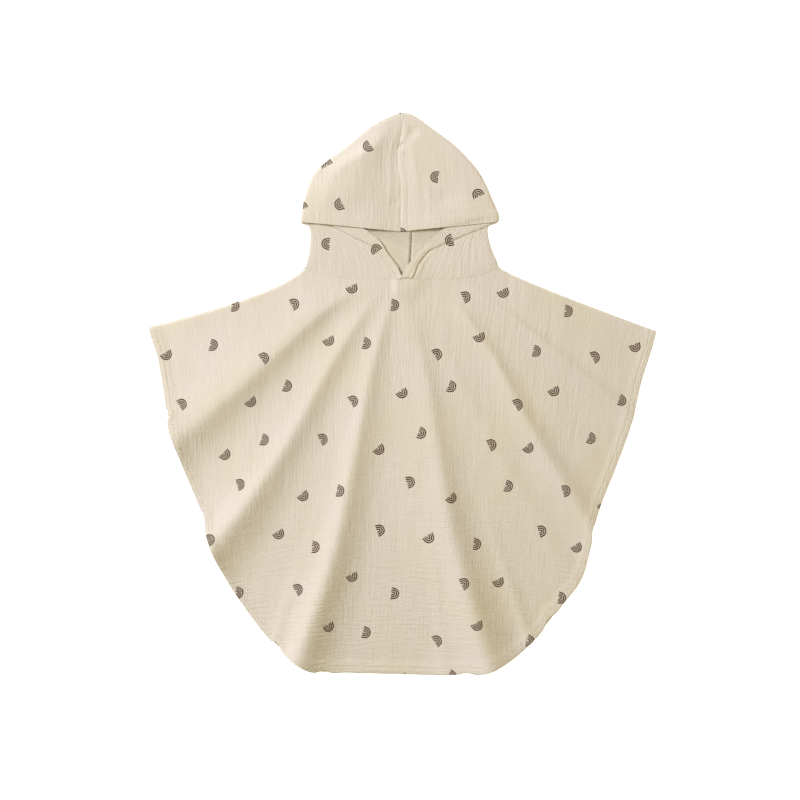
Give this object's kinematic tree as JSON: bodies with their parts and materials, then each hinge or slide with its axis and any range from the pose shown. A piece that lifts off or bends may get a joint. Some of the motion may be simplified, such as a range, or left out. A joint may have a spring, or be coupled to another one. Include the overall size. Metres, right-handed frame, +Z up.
{
  "type": "hooded poncho towel",
  "caption": "Child's hooded poncho towel in crinkled cotton muslin, laid flat on its back with soft folds fanning from the neck and the hood spread above it.",
  "frame": {"origin": "on the surface the towel lies on, below the middle of its whole outline", "axes": "+Y towards the crown of the hood, +X to the right seen from above, +Z up from the surface, out of the front panel"},
  "size_m": [0.6154, 0.6809, 0.0228],
  "materials": {
    "front_gauze": "crinkled cream cotton double gauze with a small scattered brown print",
    "back_gauze": "crinkled cream cotton double gauze with a small scattered brown print",
    "hood_gauze": "crinkled cream cotton double gauze with a small scattered brown print and topstitched seams"
  },
  "bodies": {
    "root": {"back_panel": "back_gauze", "front_panel": "front_gauze", "hood_left": "hood_gauze", "hood_right": "hood_gauze"}
  },
  "joints": []
}
